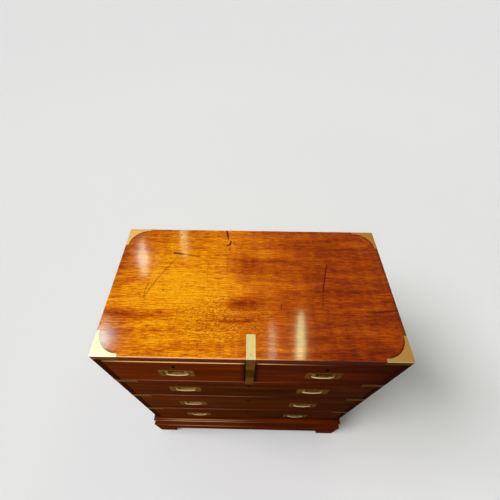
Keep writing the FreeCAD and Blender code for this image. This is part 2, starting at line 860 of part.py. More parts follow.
for name, row, left, right, pulls, key_x in DRAWERS:
    level = pull_level(row)
    nodes[name + "_drawer_front"] = drawer_front(row, left, right, pulls, key_x)
    nodes[name + "_drawer_box"] = group(drawer_box(row, left, right))
    nodes[name + "_pull_plates"] = group([pull_plate(x, level) for x in pulls])
    pull_screws = []
    for x in pulls:
        for point in pull_screw_places(x, level):
            pull_screws.append(screw(point, vec(0, 1, 0), vec(1, 0, 0)))
    nodes[name + "_pull_screws"] = group(pull_screws)
    nodes[name + "_lock"] = lock(row, key_x)
    nodes[name + "_lock_bolt"] = lock_bolt(row, key_x)
    for x in pulls:
        hand = "left" if x < 0 else "right"
        bail_name = name + "_bail" if len(pulls) == 1 else name + "_bail_" + hand
        nodes[bail_name] = bail(x, level)

os.makedirs("parts", exist_ok=True)
for name, shape in nodes.items():
    shape.exportStep("parts/" + name + ".step")
    print(name, len(shape.Solids), "solids", round(shape.Volume), "mm3", "valid", shape.isValid())
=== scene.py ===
import math
import bpy
from mathutils import Matrix, Vector


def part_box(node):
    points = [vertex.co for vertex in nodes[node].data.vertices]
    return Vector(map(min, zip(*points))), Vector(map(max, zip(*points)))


# Campaign chest: French polished mahogany, let-in brass, oak drawer linings and
# a pine back. The frame gives every piece its place; this script gives the
# finishes, the floor, the lamps and the camera. Metres, +Z up, fronts face -Y.

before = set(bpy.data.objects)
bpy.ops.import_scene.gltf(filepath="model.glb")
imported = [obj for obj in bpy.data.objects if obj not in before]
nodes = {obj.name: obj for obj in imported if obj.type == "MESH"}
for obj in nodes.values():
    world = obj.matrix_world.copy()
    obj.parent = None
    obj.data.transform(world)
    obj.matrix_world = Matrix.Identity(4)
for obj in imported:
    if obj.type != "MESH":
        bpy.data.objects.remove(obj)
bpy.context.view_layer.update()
MM = 0.001

top_low, top_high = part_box("top_board")
half_width = top_high.x
front_y = top_low.y
top_z = top_high.z

CORNER_LEG, CORNER_ROUND = 75 * MM, 66 * MM      # legs and hollow of the brass corners

COLOUR_A, COLOUR_B, COLOUR_RESULT = 6, 7, 2      # colour sockets of the Mix node
VECTOR_A, VECTOR_B, VECTOR_RESULT = 4, 5, 1      # vector sockets of the Mix node


# ---------------------------------------------------------------- materials: groundwork
def linear(code):
    """An sRGB hex colour as linear RGBA."""
    shares = [int(code[place:place + 2], 16) / 255 for place in (1, 3, 5)]
    curve = [s / 12.92 if s <= 0.04045 else ((s + 0.055) / 1.055) ** 2.4 for s in shares]
    return (*curve, 1.0)


def add(tree, kind, inputs=None, output=0, **settings):
    """Adds a node with its settings and links, and gives one of its outputs."""
    node = tree.nodes.new(kind)
    for name, value in settings.items():
        setattr(node, name, value)
    for name, value in (inputs or {}).items():
        if isinstance(value, bpy.types.NodeSocket):
            tree.links.new(value, node.inputs[name])
        else:
            node.inputs[name].default_value = value
    return node.outputs[output]


def new_tree(name):
    """A material without nodes, and its tree."""
    material = bpy.data.materials.new(name)
    material.use_nodes = True
    material.node_tree.nodes.clear()
    return material, material.node_tree


def finish_with(tree, inputs):
    """Closes a material with one principled shader."""
    shader = add(tree, "ShaderNodeBsdfPrincipled", inputs)
    tree.links.new(shader, tree.nodes.new("ShaderNodeOutputMaterial").inputs[0])


def weigh(tree, start, weighted):
    """A number plus patterns times their weights."""
    total = start
    for pattern, weight in weighted:
        total = add(tree, "ShaderNodeMath", {0: pattern, 1: weight, 2: total}, operation="MULTIPLY_ADD")
    return total


def tone_scale(tree, value, tones):
    """Colour from evenly spaced tones, the first at 0 and the last at 1."""
    colour = add(tree, "ShaderNodeValToRGB", {0: value})
    stops = colour.node.color_ramp.elements
    while len(stops) < len(tones):
        stops.new(0.5)
    for number, tone in enumerate(tones):
        stops[number].position = number / (len(tones) - 1)
        stops[number].color = linear(tone)
    return colour


def lay(tree, ground, pattern, start, end, strength, tone):
    """Lays a tone, or another colour, over a ground as a pattern goes from start to end."""
    sockets = {0: pattern, "From Min": start, "From Max": end, "To Max": strength}
    share = add(tree, "ShaderNodeMapRange", sockets, interpolation_type="SMOOTHSTEP")
    over = linear(tone) if isinstance(tone, str) else tone
    return add(tree, "ShaderNodeMix", {0: share, COLOUR_A: ground, COLOUR_B: over},
               COLOUR_RESULT, data_type="RGBA")


# ---------------------------------------------------------------- patterns at real sizes
# Real pores, fibres and hairline scratches are 0.1 to 0.4 mm wide, too fine to show here,
# so those patterns are drawn several times as coarse.

GRAIN_ORDER = {"X": ("X", "Y", "Z"), "Y": ("Y", "X", "Z"), "Z": ("Z", "X", "Y")}


def along_grain(tree, point, grain):
    """The point with the grain's direction first."""
    parts = add(tree, "ShaderNodeSeparateXYZ", {0: point}).node.outputs
    return add(tree, "ShaderNodeCombineXYZ", {i: parts[a] for i, a in enumerate(GRAIN_ORDER[grain])})


def streaks(tree, point, long_mm, wide_mm, seed, detail=2.0, warp=0.0):
    """Cloudy marks of this length and width; 0 to 1, mostly near 0.5."""
    size = (1 / (long_mm * MM), 1 / (wide_mm * MM), 1 / (wide_mm * MM))
    scaled = add(tree, "ShaderNodeVectorMath", {0: point, 1: size}, operation="MULTIPLY")
    settings = {"Vector": scaled, "W": seed, "Scale": 1.0, "Detail": detail, "Distortion": warp}
    return add(tree, "ShaderNodeTexNoise", settings, noise_dimensions="4D")


def on_top(place_mm):
    """A point of the top, measured from the middle of its front edge."""
    return Vector((place_mm[0] * MM, front_y + place_mm[1] * MM, top_z))


def patch(tree, point, centre_mm, half_mm):
    """Soft oval patch on the top: 1 in its middle, 0 at its rim."""
    size = (1 / (half_mm[0] * MM), 1 / (half_mm[1] * MM), 0.0)
    away = add(tree, "ShaderNodeVectorMath", {0: point, 1: on_top(centre_mm)}, operation="SUBTRACT")
    away = add(tree, "ShaderNodeVectorMath", {0: away, 1: size}, operation="MULTIPLY")
    reach = add(tree, "ShaderNodeVectorMath", {0: away}, "Value", operation="LENGTH")
    return add(tree, "ShaderNodeMapRange", {0: reach, "To Min": 1.0, "To Max": 0.0},
               interpolation_type="SMOOTHSTEP")


def stroke(tree, point, start_mm, end_mm, width_mm):
    """Straight mark on the top: 1 on its line, 0 a width away."""
    start = on_top(start_mm)
    run = on_top(end_mm) - start
    away = add(tree, "ShaderNodeVectorMath", {0: point, 1: start}, operation="SUBTRACT")
    reach = add(tree, "ShaderNodeVectorMath", {0: away, 1: run / run.length_squared}, "Value",
                operation="DOT_PRODUCT")
    share = add(tree, "ShaderNodeClamp", {0: reach})
    foot = add(tree, "ShaderNodeVectorMath", {0: run, "Scale": share}, operation="SCALE")
    gap = add(tree, "ShaderNodeVectorMath", {0: away, 1: foot}, "Value", operation="DISTANCE")
    return add(tree, "ShaderNodeMapRange", {0: gap, "From Max": width_mm * MM, "To Min": 1.0, "To Max": 0.0},
               interpolation_type="SMOOTHSTEP")


def painted_glint_spread(tree, point):
    """Spread of the painted highlights along the front edges: most to the left of the middle, and low down
    only at the left.
    """
    parts = add(tree, "ShaderNodeSeparateXYZ", {0: point}).node.outputs
    sockets = {0: parts["X"], "From Min": -420 * MM, "From Max": -270 * MM, "To Min": 0.25}
    left = add(tree, "ShaderNodeMapRange", sockets)
    slant = 0.17             # the painted highlight ends this much further left for each metre down
    reach = weigh(tree, slant * top_z, [(parts["X"], 1.0), (parts["Z"], -slant)])
    sockets = {0: reach, "From Min": -240 * MM, "From Max": 310 * MM, "To Min": 1.0, "To Max": 0.04}
    right = add(tree, "ShaderNodeMapRange", sockets, interpolation_type="SMOOTHSTEP")
    return add(tree, "ShaderNodeMath", {0: left, 1: right}, operation="MULTIPLY")


def long_edge(tree, point, edge_y, edge_z, width_mm):
    """1 on a long edge of the front and close to it, 0 a width away."""
    away = add(tree, "ShaderNodeVectorMath", {0: point, 1: (0.0, edge_y, edge_z)}, operation="SUBTRACT")
    away = add(tree, "ShaderNodeVectorMath", {0: away, 1: (0.0, 1.0, 1.0)}, operation="MULTIPLY")
    gap = add(tree, "ShaderNodeVectorMath", {0: away}, "Value", operation="LENGTH")
    edge = add(tree, "ShaderNodeMapRange", {0: gap, "From Max": width_mm * MM, "To Min": 2.0, "To Max": 0.0})
    return add(tree, "ShaderNodeClamp", {0: edge})


def glinting_edge(tree, point, edge_y, edge_z, width_mm):
    """A long edge of the front, as far as its painted highlight spreads."""
    edge = long_edge(tree, point, edge_y, edge_z, width_mm)
    return add(tree, "ShaderNodeMath", {0: edge, 1: painted_glint_spread(tree, point)}, operation="MULTIPLY")


def corner_rim(tree, point, width_mm):
    """1 in the wood against the round inner edges of the four corner brasses, 0 a width away."""
    middle = Vector((0.0, (top_low.y + top_high.y) / 2, 0.0))
    centre = Vector((half_width, (top_high.y - top_low.y) / 2, 0.0)) - CORNER_LEG * Vector((1, 1, 0))
    away = add(tree, "ShaderNodeVectorMath", {0: point, 1: middle}, operation="SUBTRACT")
    away = add(tree, "ShaderNodeVectorMath", {0: away}, operation="ABSOLUTE")
    away = add(tree, "ShaderNodeVectorMath", {0: away, 1: centre}, operation="SUBTRACT")
    away = add(tree, "ShaderNodeVectorMath", {0: away, 1: (1.0, 1.0, 0.0)}, operation="MULTIPLY")
    reach = add(tree, "ShaderNodeVectorMath", {0: away}, "Value", operation="LENGTH")
    sockets = {0: reach, "From Min": CORNER_ROUND - width_mm * MM, "From Max": CORNER_ROUND}
    rim = add(tree, "ShaderNodeMapRange", sockets)
    parts = add(tree, "ShaderNodeSeparateXYZ", {0: away}).node.outputs
    inward = add(tree, "ShaderNodeMath", {0: parts["X"], 1: parts["Y"]}, operation="MINIMUM")
    corner = add(tree, "ShaderNodeMapRange", {0: inward, "From Max": 15 * MM})
    return add(tree, "ShaderNodeMath", {0: rim, 1: corner}, operation="MULTIPLY")


# ---------------------------------------------------------------- wood
THIN_GLOSS, EDGE_GLOSS = 0.012, 0.8      # coat on the faces, and what the edges with painted highlights add to it
EVEN_LEAN = 0.8                          # lightness of a board that is the same all across
# tone of the painted shade beside the centre strap and of the darker side edges
DARKENING = "#1C0601"


def grain_bump(tree, lines, pores, depth_mm):
    """Surface normal from grain lines that stand and pores that sink."""
    height = add(tree, "ShaderNodeMath", {0: lines, 1: pores}, operation="SUBTRACT")
    return add(tree, "ShaderNodeBump", {"Height": height, "Strength": 0.5, "Distance": depth_mm * MM})


def painted_left_light(tree, point):
    """Painted light from the left, as from a window there: 1 to 0 across the chest."""
    parts = add(tree, "ShaderNodeSeparateXYZ", {0: point}).node.outputs
    return add(tree, "ShaderNodeMapRange", {
        0: parts["X"], "From Min": -0.8 * half_width, "From Max": half_width, "To Min": 1.0, "To Max": 0.0})


def board_pattern(tree, run, tones, seed, streak_mm, lean):
    """Colour, lines and pores of a board from its dark, middle and light tones."""
    figure = streaks(tree, run, 420.0, streak_mm, seed, detail=3.0, warp=0.8)
    lines = streaks(tree, run, 140.0, 2.6, seed + 3.0, detail=3.0)
    pores = streaks(tree, run, 14.0, 0.9, seed + 7.0, detail=1.0)
    shade = weigh(tree, -1.12, [(figure, 1.7), (lines, 0.8), (lean, 0.62)])
    colour = tone_scale(tree, shade, tones)
    return lay(tree, colour, pores, 0.60, 0.74, 0.55, tones[0]), lines, pores


def painted_shade_by_strap(tree, point):
    """Painted shade on the short drawers beside the centre strap and at their right end."""
    parts = add(tree, "ShaderNodeSeparateXYZ", {0: point}).node.outputs
    aside = add(tree, "ShaderNodeMath", {0: parts["X"]}, operation="ABSOLUTE")
    middle = add(tree, "ShaderNodeMapRange", {
        0: aside, "From Min": 34 * MM, "From Max": 16 * MM, "To Max": 0.75})
    end = add(tree, "ShaderNodeMapRange", {
        0: parts["X"], "From Min": 280 * MM, "From Max": 420 * MM, "To Max": 0.55})
    return add(tree, "ShaderNodeMath", {0: middle, 1: end}, operation="MAXIMUM")


def dark_side_edges(tree, point):
    """Darker front edges of the carcass sides."""
    parts = add(tree, "ShaderNodeSeparateXYZ", {0: point}).node.outputs
    return add(tree, "ShaderNodeMapRange", {
        0: parts["Y"], "From Min": front_y + 1.5 * MM, "From Max": front_y + 0.3 * MM, "To Max": 0.62})


def polished_wood(name, grain, tones, seed, streak_mm=26.0, across=None, glint_edges=(), darkening=None, left_light=1.0):
    """Mahogany under old thin French polish: deep colour, soft sheen, sunken pores, painted highlights on
    its edges.

    left_light says how much lighter the left is painted than the right; glint_edges lists edges painted with
    highlight lines, as place, width and tone; darkening gives where the colour is painted darker.
    """
    material, tree = new_tree(name)
    point = add(tree, "ShaderNodeTexCoord", output="Object")
    run = along_grain(tree, point, grain)
    if across:
        sockets = {0: across(tree, point), VECTOR_A: run, VECTOR_B: along_grain(tree, point, "Y")}
        run = add(tree, "ShaderNodeMix", sockets, VECTOR_RESULT, data_type="VECTOR")
    # lean paints the wood lighter to the left, as light from the left falls on it
    lean = weigh(tree, EVEN_LEAN * (1 - left_light), [(painted_left_light(tree, point), left_light)])
    colour, lines, pores = board_pattern(tree, run, tones, seed, streak_mm, lean)
    polish = THIN_GLOSS
    for edge_y, edge_z, width_mm, tone in glint_edges:
        edge = glinting_edge(tree, point, edge_y, edge_z, width_mm)
        # a highlight line painted along the edge
        colour = lay(tree, colour, edge, 0.0, 0.8, 1.0, tone)
        polish = weigh(tree, polish, [(edge, EDGE_GLOSS)])
    # darkens where the mask gives: painted shade beside the strap, darker side edges
    if darkening:
        colour = lay(tree, colour, darkening(tree, point), 0.0, 1.0, 1.0, DARKENING)
    finish_with(tree, {
        "Base Color": colour,
        "Roughness": 0.6,
        "Specular IOR Level": 0.0,
        "Coat Weight": polish,
        "Coat Roughness": 0.25,
        "Normal": grain_bump(tree, lines, pores, 0.12),
    })
    return material


TOP_TONES = ("#5A1600", "#862C00", "#B04E02", "#D97A06", "#F0A20E")
DARK_BANDS = (           # centre and half size in mm, depth of shade
    ((-330, 128), (200, 32), 0.40),
    ((-300, 78), (150, 12), 0.30),
    ((-28, 162), (78, 28), 0.44),
    ((-50, 110), (110, 12), 0.36),
    ((-380, 250), (80, 10), 0.20),
    ((400, 148), (60, 4), 0.50),
    ((340, 218), (130, 14), 0.20),
    ((30, 325), (110, 8), 0.16),
    ((300, 10), (190, 50), 0.16),
    ((-425, 60), (110, 100), 0.26),
    ((-440, 350), (130, 210), 0.24),
    ((-20, 300), (90, 80), 0.20),
)
DARK_MARKS = (           # from, to, width in mm, depth of the stain
    ((-88, 467), (-82, 438), 4.2, 0.9),
    ((-82, 435), (-79, 420), 2.6, 0.75),
    ((-71, 414), (-73, 400), 3.4, 0.95),
    ((-73, 400), (-83, 395), 3.6, 0.95),
    ((-73, 384), (-73, 372), 2.4, 0.5),
    ((-76, 345), (-78, 280), 2.0, 0.3),
    ((-263, 359), (-231, 354), 4.2, 0.95),
    ((-233, 354), (-176, 345), 2.2, 0.8),
    ((-249, 344), (-305, 245), 2.6, 0.4),
    ((-305, 245), (-331, 184), 3.0, 0.4),
    ((-328, 235), (-332, 195), 1.6, 0.55),
    ((-276, 212), (-273, 212), 2.6, 0.85),
    ((-268, 213), (-245, 211), 1.6, 0.35),
    ((-145, 327), (-137, 237), 1.4, 0.22),
    ((-250, 442), (-249, 440), 3.0, 0.95),
    ((-239, 376), (-238, 373), 2.0, 0.6),
    ((92, 168), (90, 150), 1.8, 0.6),
    ((252, 319), (224, 211), 2.4, 0.9),
    ((224, 211), (216, 155), 1.4, 0.6),
)
MARK_FADE = 1.4          # a mark fades out at this many of its widths
SWAY = Vector((60 * MM, 30 * MM, 0.0))   # how far the figure and the bands waver


def top_figure(tree, point, parts):
    """Colour of the top's grain: golden to the left, red to the right, with broad dark bands."""
    sockets = {0: parts["X"], "From Min": -120 * MM, "From Max": 260 * MM, "To Min": 0.53, "To Max": 0.15}
    lean = add(tree, "ShaderNodeMapRange", sockets, interpolation_type="SMOOTHSTEP")
    waver = add(tree, "ShaderNodeTexNoise", {"Vector": point, "Scale": 9.0, "Detail": 3.0}, "Color")
    waver = add(tree, "ShaderNodeVectorMath", {0: waver, 1: SWAY}, operation="MULTIPLY")
    wavy = add(tree, "ShaderNodeVectorMath", {0: point, 1: waver}, operation="ADD")
    wavy = add(tree, "ShaderNodeVectorMath", {0: wavy, 1: SWAY / 2}, operation="SUBTRACT")
    figure = streaks(tree, wavy, 240.0, 26.0, 5.0, detail=4.0, warp=0.6)
    lines = streaks(tree, point, 80.0, 5.0, 9.0, detail=3.0)
    fibres = streaks(tree, point, 24.0, 2.8, 11.0)
    ripple = streaks(tree, along_grain(tree, point, "Y"), 70.0, 24.0, 17.0)
    golden = patch(tree, point, (-230, 200), (300, 250))
    sockets = {0: parts["X"], "From Min": -160 * MM, "From Max": 30 * MM, "To Min": 1.1, "To Max": 0.6}
    calm = add(tree, "ShaderNodeMapRange", sockets, interpolation_type="SMOOTHSTEP")
    texture = weigh(tree, -1.03, [(lines, 0.85), (fibres, 1.2)])
    shades = [(lean, 1.0), (texture, calm), (figure, 0.62), (ripple, 0.3), (golden, 0.31)]
    shades += [(patch(tree, wavy, centre, half), -depth) for centre, half, depth in DARK_BANDS]
    return tone_scale(tree, weigh(tree, -0.32, shades), TOP_TONES)


def top_marks(tree, point, parts, colour):
    """The top's colour with pores, flecks, stains and scratches, painted shade at its brass corners and
    right end, darker painted edge faces and a painted highlight along its front edge.
    """
    pores = streaks(tree, point, 8.0, 1.8, 13.0, detail=1.0)
    colour = lay(tree, colour, pores, 0.57, 0.72, 0.8, "#4A1602")
    flecks = streaks(tree, point, 9.0, 2.8, 23.0, detail=1.0)
    speckled = patch(tree, point, (-80, 110), (340, 180))
    colour = lay(tree, colour, weigh(tree, flecks, [(speckled, 0.22)]), 0.66, 0.86, 0.75, "#782400")
    for start, end, width_mm, depth in DARK_MARKS:
        mark = stroke(tree, point, start, end, MARK_FADE * width_mm)
        colour = lay(tree, colour, mark, 0.0, 0.6, depth, "#5C0600")
    # painted shade in the wood against the corner brasses
    colour = lay(tree, colour, corner_rim(tree, point, 8.0), 0.0, 1.0, 0.85, "#341003")
    # painted shade along the right end of the top
    colour = lay(tree, colour, parts["X"], half_width - 16 * MM, half_width, 0.6, "#4A1A04")
    # the top's edge faces painted darker than its top, and darker to the right, as shade
    side = lay(tree, linear("#5C2203"), parts["X"], -100 * MM, half_width, 0.9, "#2E0C01")
    colour = lay(tree, colour, parts["Z"], top_z - 0.6 * MM, top_z - 1.4 * MM, 0.95, side)
    # painted highlight along the front edge of the top
    return lay(tree, colour, glinting_edge(tree, point, front_y, top_z, 3.0), 0.0, 1.0, 1.0, "#F0B47C")


def polished_top():
    """Sun-bleached mahogany under thick French polish: glossy, finely dimpled, with stains and scratches."""
    material, tree = new_tree("french_polished_mahogany_top")
    point = add(tree, "ShaderNodeTexCoord", output="Object")
    parts = add(tree, "ShaderNodeSeparateXYZ", {0: point}).node.outputs
    colour = top_marks(tree, point, parts, top_figure(tree, point, parts))
    sockets = {0: parts["Z"], "From Min": top_z - 1.5 * MM, "From Max": top_z - 0.5 * MM}
    polish = add(tree, "ShaderNodeMapRange", {**sockets, "To Min": 0.05, "To Max": 0.75})
    dimples = streaks(tree, point, 7.0, 4.0, 19.0, detail=1.0)
    finish_with(tree, {
        "Base Color": colour,
        "Roughness": 0.6,
        "Specular IOR Level": 0.0,
        "Coat Weight": polish,
        "Coat Roughness": 0.09,
        "Coat Normal": grain_bump(tree, dimples, 0.5, 0.08),
    })
    return material


def bare_wood(name, grain, tones, seed, streak_mm, across=None, boards=None):
    """Planed oak or pine without polish: dull, with open grain."""
    material, tree = new_tree(name)
    point = add(tree, "ShaderNodeTexCoord", output="Object")
    run = along_grain(tree, point, grain)
    if across:
        sockets = {0: across(tree, point), VECTOR_A: run, VECTOR_B: along_grain(tree, point, "X")}
        run = add(tree, "ShaderNodeMix", sockets, VECTOR_RESULT, data_type="VECTOR")
    if boards:
        parts = add(tree, "ShaderNodeSeparateXYZ", {0: point}).node.outputs
        number = add(tree, "ShaderNodeMath", {0: parts["X"], 1: boards}, operation="SNAP")
        shift = add(tree, "ShaderNodeCombineXYZ", {"X": number})
        run = add(tree, "ShaderNodeVectorMath", {0: run, 1: shift}, operation="ADD")
    colour, lines, pores = board_pattern(tree, run, tones, seed, streak_mm, 0.5)
    if boards:
        joint = add(tree, "ShaderNodeMath", {0: parts["X"], 1: boards}, operation="PINGPONG")
        colour = lay(tree, colour, joint, 2 * MM, 0.0, 0.8, "#2A1808")
    finish_with(tree, {
        "Base Color": colour,
        "Roughness": 0.6,
        "IOR": 1.5,
        "Specular IOR Level": 0.3,
        "Normal": grain_bump(tree, lines, pores, 0.25),
    })
    return material


def base_return(tree, point):
    """1 on the side lengths of the base, beyond the mitres of its front corners."""
    parts = add(tree, "ShaderNodeSeparateXYZ", {0: point}).node.outputs
    reach = add(tree, "ShaderNodeMath", {0: parts["X"]}, operation="ABSOLUTE")
    beside = add(tree, "ShaderNodeMath", {0: reach, 1: half_width}, operation="SUBTRACT")
    ahead = add(tree, "ShaderNodeMath", {0: front_y, 1: parts["Y"]}, operation="SUBTRACT")
    return add(tree, "ShaderNodeMath", {0: beside, 1: ahead}, operation="GREATER_THAN")


def drawer_back(tree, point):
    """1 in the back boards of the drawers."""
    parts = add(tree, "ShaderNodeSeparateXYZ", {0: point}).node.outputs
    thickness = 10.5 * MM    # of a back board, with half a millimetre to spare
    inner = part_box("long_lower_drawer_box")[1].y - thickness
    return add(tree, "ShaderNodeMath", {0: parts["Y"], 1: inner}, operation="GREATER_THAN")


# ---------------------------------------------------------------- metal
def metal(name, bright, dull, seed, rough=0.45, top_sheen=None, shade_y=None, grip_glint_z=None, dark_reflection_z=None,
          rim="#AFA69E"):
    """Old lacquered metal: a satin sheen and cloudy tarnish, with painted shade that darkens it to the
    right.

    Behind shade_y it is painted dark as the shade in its wells, and a band around dark_reflection_z is
    painted dark as a reflection. Below grip_glint_z it is painted bright as a highlight on the grip, and its
    top is painted pale as a sheen, in the tone top_sheen, with a painted highlight on its front edge. rim is
    its tone at grazing angles.
    """
    material, tree = new_tree(name)
    point = add(tree, "ShaderNodeTexCoord", output="Object")
    cloud = streaks(tree, point, 14.0, 14.0, seed, detail=4.0)
    hairs = streaks(tree, point, 16.0, 0.5, seed + 3.0)
    colour = lay(tree, linear(bright), cloud, 0.40, 0.70, 0.8, dull)
    parts = add(tree, "ShaderNodeSeparateXYZ", {0: point}).node.outputs
    # painted shade to the right
    colour = lay(tree, colour, parts["X"], -100 * MM, half_width, 0.55, "#38240C")
    if shade_y:
        # painted shade in the well
        colour = lay(tree, colour, parts["Y"], shade_y, shade_y + 2 * MM, 1.0, "#100600")
    if dark_reflection_z:
        # painted dark reflection in a band across the strap
        away = add(tree, "ShaderNodeMath", {0: parts["Z"], 1: dark_reflection_z}, operation="SUBTRACT")
        away = add(tree, "ShaderNodeMath", {0: away}, operation="ABSOLUTE")
        colour = lay(tree, colour, away, 48 * MM, 30 * MM, 0.6, "#2A1604")
    if grip_glint_z:
        # painted highlight on the grip of the bail
        colour = lay(tree, colour, parts["Z"], grip_glint_z, grip_glint_z - 3 * MM, 1.0, "#FFE2AC")
    if top_sheen:
        # painted sheen on the top faces: pale at the front left, golden to the right and back
        shine = lay(tree, linear(top_sheen), parts["X"], -100 * MM, half_width, 0.8, GOLDEN_BRASS)
        shine = lay(tree, shine, parts["Y"], 0.0, top_high.y, 0.8, GOLDEN_BRASS)
        upper = add(tree, "ShaderNodeMath", {0: parts["Z"], 1: top_z - 1.0 * MM}, operation="GREATER_THAN")
        colour = add(tree, "ShaderNodeMix", {0: upper, COLOUR_A: colour, COLOUR_B: shine},
                     COLOUR_RESULT, data_type="RGBA")
        # painted highlight along the front edge of the top
        colour = lay(tree, colour, long_edge(tree, point, front_y, top_z, 2.5), 0.0, 1.0, 1.0, "#FFF4D8")
    height = weigh(tree, 0.0, [(cloud, 1.0), (hairs, 0.5)])
    finish_with(tree, {
        "Base Color": colour,
        "Metallic": 1.0,
        "Roughness": rough,
        "Specular Tint": linear(rim),
        "Normal": add(tree, "ShaderNodeBump", {"Height": height, "Strength": 0.25, "Distance": 0.1 * MM}),
    })
    return material


# ---------------------------------------------------------------- finishes on the pieces
UPPER_TONES = ("#3E1202", "#5C2001", "#762E05")
LOWER_TONES = ("#301202", "#4E1F01", "#642D04")
CASE_TONES = ("#341002", "#521C02", "#6A2A06")
BASE_TONES = ("#340F01", "#521A00", "#6A2C02")
OAK_TONES = ("#8E6A3C", "#B48C55", "#C9A36A")
PINE_TONES = ("#84501E", "#B07A3C", "#C9965A")
BACK_BOARD_COUNT = 6
DARK_BRASS, OLIVE_BRASS = "#86602A", "#5E441C"
# pale and golden ends of the painted sheen on the brass tops
SHEEN_BRASS, GOLDEN_BRASS = "#FFE6B4", "#FFB652"
# tones of the highlight lines painted along the drawer and rail edges
GLINT_EDGE, DIM_GLINT_EDGE = "#FFC27C", "#9A5424"
BASE_LEFT_LIGHT = 0.35       # the base is painted lighter to the left by this share of what the case is


def moulding_edges():
    """Painted highlight lines of the base moulding: on its lip, its nose and its lower edge."""
    low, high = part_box("base_moulding")
    nose_reach, nose_half_height = 15 * MM, 13 * MM
    lip = (front_y - 9 * MM, high.z - 2 * MM, 3.0, "#A07850")
    nose = (front_y - nose_reach, high.z - nose_half_height - 1 * MM, 7.0, "#FFCC8C")
    foot = (low.y, low.z + 2 * MM, 5.0, "#D07830")
    return [lip, nose, foot]


finishes = {
    "top_board": polished_top(),
    "left_side": polished_wood("french_polished_mahogany_left", "Z", CASE_TONES, 21.0, darkening=dark_side_edges),
    "right_side": polished_wood("french_polished_mahogany_right", "Z", CASE_TONES, 22.0, darkening=dark_side_edges),
    "short_drawer_divider": polished_wood("french_polished_mahogany_divider", "Z", CASE_TONES, 23.0,
                                          darkening=painted_shade_by_strap),
    "bottom_board": polished_wood("french_polished_mahogany_bottom", "X", CASE_TONES, 24.0),
    "base_moulding": polished_wood("french_polished_mahogany_moulding", "X", BASE_TONES, 25.0,
                                   across=base_return, glint_edges=moulding_edges(), left_light=BASE_LEFT_LIGHT),
    "plinth_front": polished_wood("french_polished_mahogany_plinth", "X", BASE_TONES, 26.0,
                                  left_light=BASE_LEFT_LIGHT),
    "plinth_sides": polished_wood("french_polished_mahogany_plinth_ends", "Y", BASE_TONES, 27.0,
                                  left_light=BASE_LEFT_LIGHT),
    "bracket_feet": polished_wood("french_polished_mahogany_feet", "X", BASE_TONES, 28.0,
                                  across=base_return, left_light=BASE_LEFT_LIGHT),
    "back_boards": bare_wood("planed_pine_back", "Z", PINE_TONES, 31.0, 30.0,
                             boards=2 * half_width / BACK_BOARD_COUNT),
    "plinth_back": bare_wood("planed_pine_plinth", "X", PINE_TONES, 32.0, 30.0),
    "drawer_runners": bare_wood("planed_pine_runners", "Y", PINE_TONES, 33.0, 20.0),
    "drawer_stops": bare_wood("planed_pine_stops", "X", PINE_TONES, 34.0, 20.0),
    "foot_blocks": bare_wood("planed_pine_blocks", "Z", PINE_TONES, 35.0, 20.0),
    "corner_brasses": metal("old_brass_corners", DARK_BRASS, OLIVE_BRASS, 41.0, top_sheen=SHEEN_BRASS),
    "centre_strap": metal("old_brass_strap", DARK_BRASS, OLIVE_BRASS, 42.0, top_sheen=SHEEN_BRASS,
                          dark_reflection_z=top_z - 128 * MM),
    "edge_straps": metal("old_brass_edge_straps", DARK_BRASS, OLIVE_BRASS, 43.0),
    "brass_screws": metal("turned_brass_screws", DARK_BRASS, OLIVE_BRASS, 44.0, top_sheen="#ECCF98"),
}
for number, row in enumerate(("top", "upper", "middle", "lower")):
    low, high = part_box(row + "_rail")
    finishes[row + "_rail"] = polished_wood("french_polished_mahogany_" + row + "_rail", "X", CASE_TONES,
                                            51.0 + number, glint_edges=[(low.y, high.z, 2.5, DIM_GLINT_EDGE)])

oak = bare_wood("waxed_oak_lining", "Y", OAK_TONES, 61.0, 24.0, across=drawer_back)
pull_brass = metal("cast_brass_pull", "#8C6430", "#5A3E1A", 71.0, shade_y=front_y + 3 * MM)
pull_screw_brass = metal("turned_brass_pull_screws", "#A87C40", "#6E4E22", 73.0)
lock_brass = metal("tarnished_brass_lock", "#4A3216", "#20140A", 74.0, rim="#5C4630")
lock_steel = metal("filed_steel_bolt", "#A8A49C", "#6E6A62", 75.0, rough=0.35)
DRAWERS = ("short_left", "short_right", "long_upper", "long_middle", "long_lower")
for number, drawer in enumerate(DRAWERS):
    low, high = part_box(drawer + "_drawer_front")
    tones, width_mm, edge, darkening = LOWER_TONES, 2.0, DIM_GLINT_EDGE, None
    if "short" in drawer:
        tones, width_mm, edge, darkening = UPPER_TONES, 4.0, GLINT_EDGE, painted_shade_by_strap
    finishes[drawer + "_drawer_front"] = polished_wood("french_polished_mahogany_" + drawer, "X", tones,
                                                       81.0 + number, 34.0, darkening=darkening,
                                                       glint_edges=[(low.y, high.z, width_mm, edge)])
    finishes[drawer + "_drawer_box"] = oak
    finishes[drawer + "_pull_plates"] = pull_brass
    finishes[drawer + "_pull_screws"] = pull_screw_brass
    finishes[drawer + "_lock"] = lock_brass
    finishes[drawer + "_lock_bolt"] = lock_steel
GRIP_HEIGHT = 12 * MM    # the grip of a bail, from its lowest point
for name in nodes:
    if "_bail" in name:
        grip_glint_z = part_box(name)[0].z + GRIP_HEIGHT
        finishes[name] = metal("brass_with_painted_glint_" + name, "#B08A4C", "#7E5C2A", 72.0, rough=0.60,
                               grip_glint_z=grip_glint_z)

for name, node in nodes.items():
    for slot in node.material_slots:
        slot.material = finishes[name]


